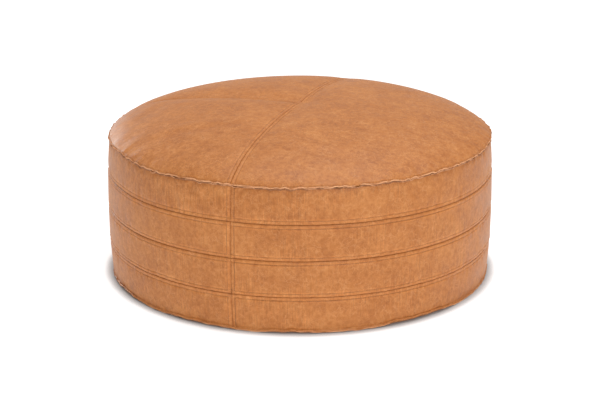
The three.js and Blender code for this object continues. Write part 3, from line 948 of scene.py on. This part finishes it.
zipWell = {
    "ceiling": 9 * millimetre,
    "halfWidth": 20 * millimetre,
    "halfLength": 320 * millimetre,
    "slope": 14 * millimetre,
    "mouth": 8 * millimetre,  # half the opening between the turned edges
    "mouthEnd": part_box("zip_top_stop_rear")[1].x + 0.3 * millimetre,
    "hem": 4 * millimetre,  # from each turned edge to its stitching
}


def wellRise(x, y):
    across = (zipWell["halfWidth"] + zipWell["slope"] - np.abs(y)) / zipWell["slope"]
    along = (zipWell["halfLength"] + zipWell["slope"] - np.abs(x)) / zipWell["slope"]
    rise = zipWell["ceiling"] * smoothStep(np.minimum(across, along))
    beyond = smoothStep((np.abs(x) - zipWell["mouthEnd"] - zipWell["hem"]) / 0.01)
    return rise + 1.3 * millimetre * beyond * np.exp(-(y / 0.007) ** 2)


def basePanel(name, side):
    outer = cover["footRadius"] + cover["footLeaf"]
    end = zipWell["mouthEnd"] / millimetre
    half = np.concatenate([np.linspace(0, 300, 50), [end - 1.5, end, end + 0.3, end + 2],
                           np.linspace(end + 7, outer / millimetre, 27)]) * millimetre
    starts = np.concatenate([-half[:0:-1], half])
    mouth = np.where(np.abs(starts) <= zipWell["mouthEnd"] + 1e-5, zipWell["mouth"], seam["gap"])
    sweep = math.pi / 2 * starts / outer * (1 - seam["gap"] / outer)
    near = np.array([0, 0.4, 1.2, 2.6, 4, 5.5, 7.5, 9.5, 11.5, 13, 15, 17,
                     19.5, 22, 24.5, 26, 29]) * millimetre
    far = np.array([20, 13, 8, 5, 3, 1.8, 0.9, 0]) * millimetre
    rowsOf = []
    for x0, y0, turn in zip(starts, mouth, sweep):
        x1, y1 = outer * math.sin(turn), outer * math.cos(turn)
        length = math.hypot(x1 - x0, y1 - y0)
        squeeze = min(1, length / 0.12)
        middle = np.linspace(near[-1] * squeeze, length - far[0] * squeeze, 58)[1:-1]
        share = np.concatenate([near * squeeze, middle, length - far * squeeze]) / max(length, 1e-9)
        rowsOf.append(np.stack([x0 + (x1 - x0) * share, y0 + (y1 - y0) * share], axis=-1))
    flat = np.array(rowsOf).transpose(1, 0, 2)
    x, y = flat[..., 0], flat[..., 1] * side
    radius, angle = np.hypot(x, y), np.arctan2(y, x)
    share = np.clip((radius - cover["footRadius"]) / cover["footLeaf"], 0, 1) ** 1.5
    inside = np.maximum(cover["footRadius"] - radius, 0)
    height = wellRise(x, y) + footWave(angle) * (0.5 + 0.5 * share) * np.exp(-inside / 0.03)
    radius = radius + ripple(angle, raw["reach"], 79) * share
    piece = coverPiece("base_panel_" + name + "_leather", polar(radius, angle, height), 0 * x,
                       lambda centre: Vector((0, 0, -1)), cover["footRadius"] + 0.4 * cover["footLeaf"],
                       baseLeather, rawEdge)
    return piece


for name, side in (("front", -1), ("rear", 1)):
    panel = basePanel(name, side)
    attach(panel, "pouf")
    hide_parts("base_panel_" + name)
print("base laid")


# Stitches: one small bead of thread, set down along every sewn line

stitch = {
    "pitch": 4.4 * millimetre,
    "length": 3.6 * millimetre,
    "width": 0.95 * millimetre,
    "rise": 0.25 * millimetre,
    "handPitch": 7.5 * millimetre,  # the raw seams are sewn by hand
    "handLength": 5.2 * millimetre,
}


def stitchShape(length):
    clearSelection()
    bpy.ops.mesh.primitive_uv_sphere_add(segments=6, ring_count=4, radius=0.5)
    template = bpy.context.object
    points = readPoints(template.data)[:, (2, 0, 1)]
    writePoints(template.data, points * (length, stitch["width"], 0.8 * stitch["width"]))
    return template


# Copies the template to each place, with its x along the line and its z along the way it faces.
def stamp(name, template, origins, forward, facing):
    forward = forward / np.linalg.norm(forward, axis=1, keepdims=True)
    sideways = np.cross(facing, forward)
    sideways /= np.linalg.norm(sideways, axis=1, keepdims=True)
    upward = np.cross(forward, sideways)
    shape = readPoints(template.data)
    placed = origins[:, None] + sum(shape[None, :, k, None] * axis[:, None]
                                    for k, axis in enumerate((forward, sideways, upward)))
    faces = [tuple(face.vertices) for face in template.data.polygons]
    count = len(shape)
    mesh = bpy.data.meshes.new(name)
    mesh.from_pydata(placed.reshape(-1, 3).tolist(), [],
                     [tuple(v + count * k for v in face) for k in range(len(origins)) for face in faces])
    piece = bpy.data.objects.new(name, mesh)
    bpy.context.scene.collection.objects.link(piece)
    bpy.data.objects.remove(template)
    choose(piece)
    bpy.ops.object.shade_smooth()
    return piece


# Even places along a finely sampled line, with the line's direction and its facing there.
def spaced(points, facing, pitch):
    steps = np.linalg.norm(np.diff(points, axis=0), axis=1)
    run = np.concatenate([[0], np.cumsum(steps)])
    places = np.arange(pitch / 2, run[-1], pitch)
    pick = lambda values, at: np.stack([np.interp(at, run, values[:, k]) for k in range(3)], axis=-1)
    ahead = pick(points, places + pitch / 4) - pick(points, places - pitch / 4)
    return pick(points, places), ahead, pick(facing, places)


def sewLines(name, lines, pitch, length):
    found = [spaced(line[0], line[1], pitch) for line in lines]
    origins, ahead, facing = (np.concatenate([f[k] for f in found]) for k in range(3))
    piece = stamp(name, stitchShape(length), origins + facing * stitch["rise"], ahead, facing)
    dress(piece, waxedThread)
    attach(piece, "pouf")
    return piece


def seatLines():
    lines = []
    for seamAngle in seamAngles:
        for side in (-1, 1):
            distance = np.linspace(0.02, crownLength - 0.004, 700)
            radius = np.interp(distance, crownLengths, crownRadii)
            turn = seamAngle + side * np.arcsin((seam["topstitch"] + seam["gap"]) / radius)
            lines.append(seatSurface(distance, turn))
    return lines


def wallLines():
    turn = np.linspace(0, 2 * math.pi, 5000)
    lines = []
    for edge in rowEdges[1:-1]:
        for side in (-1, 1):
            lines.append(wallSurface(turn, edge + side * (seam["topstitch"] + seam["gap"]) + 0 * turn))
    upright = []
    height = np.linspace(rowEdges[0] + 0.006, rowEdges[-1] - 0.006, 500)
    for seamAngle in seamAngles:
        for side in (-1, 1):
            angle = seamAngle + side * (seam["topstitch"] + seam["gap"]) / cover["widestRadius"]
            upright.append(wallSurface(angle + 0 * height, height))
    return lines, upright


def rawLine(place):
    angle = np.linspace(0, 2 * math.pi, 6000)
    share = 0.55 ** 1.5
    if place == "rim":
        radius = cover["crownRadius"] + 0.62 * cover["seatLeaf"] + 0 * angle
        height = rimTop + rimWave(angle, 0.35 + 0.65 * share) + 0.3 * rimGap(angle) * share
        height = height + 0.15 * cover["seatFillet"]
    else:
        radius = wallRadius(np.array(rowEdges[0] + coverLeather)) + 0.75 * cover["footLeaf"] + 0 * angle
        height = rowEdges[0] + coverLeather + footWave(angle) * (0.5 + 0.5 * share)
    return polar(radius, angle, height), polar(0.35, angle, 0.94)


def baseLines():
    lines = []
    row = zipWell["mouth"] + zipWell["hem"]
    end = zipWell["mouthEnd"] + zipWell["hem"]
    along = np.linspace(-end, end, 900)
    for side in (-1, 1):
        lines.append((along, side * row + 0 * along))
        lines.append((side * end + 0 * along[:60], np.linspace(-row, row, 60)))
        for out in (-1, 1):
            beyond = np.linspace(end + 0.006, cover["footRadius"] - 0.004, 300)
            lines.append((out * beyond, side * 3.5 * millimetre + 0 * beyond))
    made = []
    for x, y in lines:
        points = np.stack([x, y, wellRise(x, y)], axis=-1)
        made.append((points, np.broadcast_to([0.0, 0.0, -1.0], points.shape)))
    return made


wallRuns, wallUprights = wallLines()
sewLines("seat_topstitching", seatLines(), stitch["pitch"], stitch["length"])
sewLines("wall_row_topstitching", wallRuns, stitch["pitch"], stitch["length"])
sewLines("wall_upright_topstitching", wallUprights, stitch["pitch"], stitch["length"])
rimSewing = sewLines("rim_hand_stitching", [rawLine("rim")], stitch["handPitch"], stitch["handLength"])
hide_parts("rim_thread")
footSewing = sewLines("foot_hand_stitching", [rawLine("foot")], stitch["handPitch"], stitch["handLength"])
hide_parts("base_thread")
sewLines("zip_hem_stitching", baseLines(), stitch["pitch"], stitch["length"])
print("stitches set")


# Zip

zipLook = {
    "bevel": 0.35 * millimetre,
    "coilPitch": 1.9 * millimetre,
    "wire": 0.8 * millimetre,
    "tapeEdge": 0.95 * millimetre,  # the tape runs on between the turns of the coil
}


# A copy of one of the frame's solids, welded, with its sharp edges eased.
def eased(node, name, width):
    piece = bpy.data.objects.new(name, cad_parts[node].data.copy())
    bpy.context.scene.collection.objects.link(piece)
    choose(piece)
    bpy.ops.object.mode_set(mode="EDIT")
    bpy.ops.mesh.select_all(action="SELECT")
    bpy.ops.mesh.remove_doubles(threshold=1e-5)
    bpy.ops.mesh.normals_make_consistent(inside=False)
    bpy.ops.mesh.dissolve_limited(angle_limit=math.radians(1))
    bpy.ops.object.mode_set(mode="OBJECT")
    applyModifier(piece, "BEVEL", width=width, segments=2, limit_method="ANGLE",
                  angle_limit=math.radians(30), use_clamp_overlap=True)
    choose(piece)
    bpy.ops.object.shade_smooth_by_angle(angle=math.radians(40))
    return piece


def coilShape(low, high, inner, outer):
    clearSelection()
    bpy.ops.mesh.primitive_torus_add(major_segments=12, minor_segments=5, major_radius=1,
                                     minor_radius=0.3)
    template = bpy.context.object
    points = readPoints(template.data)
    angle = np.arctan2(points[:, 1], points[:, 0])
    away = (np.hypot(points[:, 0], points[:, 1]) - 1) / 0.3
    wire = zipLook["wire"] / 2
    across = (outer - inner) / 2 - wire
    tall = (high - low) / 2 - wire
    points = np.stack([points[:, 2] / 0.3 * wire, np.cos(angle) * (across + away * wire),
                       np.sin(angle) * (tall + away * wire)], axis=-1)
    writePoints(template.data, points)
    return template


for side, sign in (("front", -1), ("rear", 1)):
    low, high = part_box("zip_coil_" + side)
    inner, outer = sorted((abs(low.y), abs(high.y)))
    centre = np.arange(low.x + 1.4 * millimetre, high.x - 1.2 * millimetre, zipLook["coilPitch"])
    centre = centre + (zipLook["coilPitch"] / 2 if sign > 0 else 0)
    centre = centre[centre < high.x - 0.4 * millimetre]
    origins = np.stack([centre, 0 * centre + sign * (inner + outer) / 2,
                        0 * centre + (low.z + high.z) / 2], axis=-1)
    template = coilShape(low.z, high.z, inner, outer)
    coil = stamp("zip_coil_loops_" + side, template, origins, np.tile([1.0, 0, 0], (len(centre), 1)),
                 np.tile([0, 0, 1.0], (len(centre), 1)))
    tape = eased("zip_tape_" + side, "zip_tape_woven_" + side, 0.15 * millimetre)
    points = readPoints(tape.data)
    points[np.abs(points[:, 1]) < outer + 1 * millimetre, 1] = sign * zipLook["tapeEdge"]
    writePoints(tape.data, points)
    topStop = eased("zip_top_stop_" + side, "zip_top_stop_metal_" + side, zipLook["bevel"])
    for piece, material, node, slot in ((coil, nylon, "zip_coil_", "zip_nylon"),
                                        (tape, zipTape, "zip_tape_", "zip_tape"),
                                        (topStop, brass, "zip_top_stop_", "zip_brass")):
        dress(piece, material)
        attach(piece, "pouf")
        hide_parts(node + side)
    low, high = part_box("zip_tape_" + side)

for node, body in (("zip_bottom_stop", "pouf"), ("zip_slider", "zip_slider"), ("zip_pull", "zip_pull")):
    piece = eased(node, node + "_metal", zipLook["bevel"])
    dress(piece, brass)
    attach(piece, body)
    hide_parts(node)
print("zip fitted")


# Inner bag and filling

filling = {
    "bagInset": 8.0 * millimetre,
    "crownInset": 9.4 * millimetre,
    "cotton": 1.2 * millimetre,
    "foamRadius": 405 * millimetre,
    "foamEdge": 5 * millimetre,
    "lump": 1.6 * millimetre,
    "columns": 180,
}


def turned(name, profile, smoothAngle=60):
    radius, height = np.array(profile).T
    columnCount = filling["columns"]
    piece, column, row = gridSheet(name, columnCount, len(profile) - 1)
    angle = column / columnCount * 2 * math.pi
    writePoints(piece.data, polar(radius[row], angle, height[row]))
    bpy.ops.object.mode_set(mode="EDIT")
    bpy.ops.mesh.select_all(action="SELECT")
    bpy.ops.mesh.remove_doubles(threshold=1e-5)
    bpy.ops.mesh.normals_make_consistent(inside=False)
    bpy.ops.object.mode_set(mode="OBJECT")
    choose(piece)
    bpy.ops.object.shade_smooth_by_angle(angle=math.radians(smoothAngle))
    return piece


# Pushes the surface in and out by a smooth, uneven amount, away from the middle of the pouf.
def lumpy(piece, length, height, seed):
    draw = np.random.default_rng(seed)
    points = readPoints(piece.data)
    total = np.zeros(len(points))
    for _ in range(14):
        way = draw.normal(size=3)
        way *= 2 * math.pi / (length * draw.uniform(0.6, 1.6)) / np.linalg.norm(way)
        total += np.sin(points @ way + draw.uniform(0, 2 * math.pi))
    outward = points - (0, 0, 0.16)
    outward /= np.linalg.norm(outward, axis=1, keepdims=True)
    writePoints(piece.data, points + outward * (total / 5 - 0.8)[:, None] * height)


# The hollow above the zip that the bag and the foam leave free.
def raiseTunnel(piece, grow, below):
    points = readPoints(piece.data)
    across = (37.5 * millimetre + grow - np.abs(points[:, 1])) / zipWell["slope"]
    along = (345 * millimetre + grow - np.abs(points[:, 0])) / zipWell["slope"]
    rise = (14.8 * millimetre + grow) * smoothStep(np.minimum(across, along))
    points[:, 2] += np.where(points[:, 2] < below, rise, 0)
    writePoints(piece.data, points)


# The bag and the topper under the seat follow its seams down.
def sinkSeams(piece, low):
    points = readPoints(piece.data)
    share = smoothStep((points[:, 2] - low) / 0.02)
    points[:, 2] -= share * seamSink(points[:, 0], points[:, 1])
    writePoints(piece.data, points)


def crownInside(inset):
    distance = np.linspace(0, crownLength, 46)
    lean = np.interp(distance, crownLengths, crownSlope)
    radius = np.interp(distance, crownLengths, crownRadii) - inset * np.sin(lean)
    height = np.interp(distance, crownLengths, crownHeights) - inset * np.cos(lean)
    return list(zip(np.maximum(radius, 0), height))


def wallInside(inset, low, high):
    height = np.linspace(low, high, 34)
    return list(zip(wallRadius(height) - inset, height))


def along(radius, height, count=34):
    return [(r, height) for r in np.linspace(0, radius, count)]


def place(piece, node, material, slot, fill=None):
    dress(piece, material)
    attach(piece, "pouf")
    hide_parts(node)


cotton = filling["cotton"]
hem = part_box("bag_top")[0].z
outer, inner = crownInside(filling["crownInset"]), crownInside(filling["crownInset"] + cotton)
hemRadius = outer[-1][0]
bagTop = turned("bag_top_canvas", outer + [(hemRadius, hem), (hemRadius - cotton, hem)] + inner[::-1])
lumpy(bagTop, 0.16, 0.8 * millimetre, 5)
sinkSeams(bagTop, 0)
place(bagTop, "bag_top", canvas, "cotton_canvas", 0.8)

low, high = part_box("bag_side")[0].z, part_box("bag_side")[1].z
band = (wallInside(filling["bagInset"], low, high)
        + wallInside(filling["bagInset"] + cotton, low, high)[::-1])
bagSide = turned("bag_side_canvas", band + band[:1])
lumpy(bagSide, 0.14, 0.8 * millimetre, 6)
place(bagSide, "bag_side", canvas, "cotton_canvas", 0.8)

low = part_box("bag_base")[0].z
radius = cover["footRadius"] - filling["bagInset"] - 2 * cotton
sheet = along(radius, low, 60) + along(radius, low + cotton, 60)[::-1]
bagBase = turned("bag_base_canvas", sheet)
raiseTunnel(bagBase, 0, 1)
place(bagBase, "bag_base", canvas, "cotton_canvas")

radius, edge = filling["foamRadius"], filling["foamEdge"]
for slab in ("lower", "upper"):
    low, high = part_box("foam_slab_" + slab)[0].z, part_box("foam_slab_" + slab)[1].z
    turnIn = [(radius - edge * (1 - math.sin(a)), edge * (1 - math.cos(a)))
              for a in np.linspace(0, math.pi / 2, 5)]
    profile = along(radius - edge, low, 56) + [(r, low + h) for r, h in turnIn]
    profile += [(r, high - h) for r, h in reversed(turnIn)] + along(radius - edge, high, 20)[::-1]
    foamSlab = turned("foam_slab_" + slab + "_block", profile, 40)
    if slab == "lower":
        raiseTunnel(foamSlab, 1.8 * millimetre, low + 0.1 * millimetre)
    place(foamSlab, "foam_slab_" + slab, foamMaterial, "foam")

low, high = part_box("side_wadding")[0].z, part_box("side_wadding")[1].z
ring = wallInside(filling["bagInset"] + 2 * cotton, low + 0.002, high - 0.002)
inside = radius + 2.5 * millimetre
ring = ring + [(inside, h) for _, h in reversed(ring)]
wadding = turned("side_wadding_roll", ring + ring[:1])
lumpy(wadding, 0.05, filling["lump"], 8)
place(wadding, "side_wadding", waddingMaterial, "wadding", 0.6)

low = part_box("fibre_topper")[0].z
dome = crownInside(filling["crownInset"] + 2 * cotton)
topper = turned("fibre_topper_cushion", dome + along(dome[-1][0], low + 0.003, 40)[::-1])
lumpy(topper, 0.05, filling["lump"], 9)
sinkSeams(topper, low + 0.004)
place(topper, "fibre_topper", waddingMaterial, "wadding", 0.6)
print("bag and filling placed")


# Camera, floor and light

view = {"distance": 3.974, "elevation": 18.15, "aim": 0.159, "lens": 98.9, "sensor": 36.0}


def makeCamera():
    lens = bpy.data.cameras.new("camera")
    lens.lens = view["lens"]
    lens.sensor_width = view["sensor"]
    lens.clip_end = 60
    camera = bpy.data.objects.new("camera", lens)
    bpy.context.scene.collection.objects.link(camera)
    tilt = math.radians(view["elevation"])
    camera.location = (0, -view["distance"] * math.cos(tilt),
                       view["aim"] + view["distance"] * math.sin(tilt))
    camera.rotation_euler = (math.pi / 2 - tilt, 0, 0)
    bpy.context.scene.camera = camera


def areaLight(name, place, target, size, power):
    lamp = bpy.data.lights.new(name, "AREA")
    lamp.shape = "RECTANGLE"
    lamp.size, lamp.size_y = size
    lamp.energy = power
    light = bpy.data.objects.new(name, lamp)
    bpy.context.scene.collection.objects.link(light)
    light.location = place
    light.rotation_euler = (Vector(target) - Vector(place)).to_track_quat("-Z", "Y").to_euler()
    return light


def makeStudio():
    clearSelection()
    bpy.ops.mesh.primitive_plane_add(size=60)
    floor = bpy.context.object
    floor.name = "floor"
    material, tree, shader = newMaterial("white studio paper with painted contact shadow")
    shader.inputs["Base Color"].default_value = hexColour("BBBBBB")
    shader.inputs["Roughness"].default_value = 0.9
    # The floor glows evenly, and ambient occlusion dims its glow next to the pouf: a painted contact
    # shadow.
    shade = addNode(tree, "AmbientOcclusion", {"Distance": 0.024}).outputs["AO"]
    shade = compute(tree, "POWER", shade, 3.4)
    glowWithPaintedShadow = addNode(tree, "CombineColor", None, Red=shade, Green=shade, Blue=shade).outputs[0]
    tree.links.new(glowWithPaintedShadow, shader.inputs["Emission Color"])
    shader.inputs["Emission Strength"].default_value = 0.72
    dress(floor, material)
    world = bpy.context.scene.world or bpy.data.worlds.new("studio")
    bpy.context.scene.world = world
    world.use_nodes = True
    background = world.node_tree.nodes["Background"]
    background.inputs["Color"].default_value = (1, 1, 1, 1)
    background.inputs["Strength"].default_value = 0.45
    middle = (0, 0, 0.2)
    areaLight("top softbox", (0.4, 0.2, 3.2), middle, (2.6, 2.6), 60)
    areaLight("front softbox", (1.4, -4.2, 2.2), middle, (2.4, 1.6), 70)
    areaLight("rear strip", (-2.6, 3.1, 1.1), middle, (1.5, 0.8), 38)
    bpy.context.scene.view_settings.view_transform = "Standard"


makeCamera()
makeStudio()
print("studio ready")
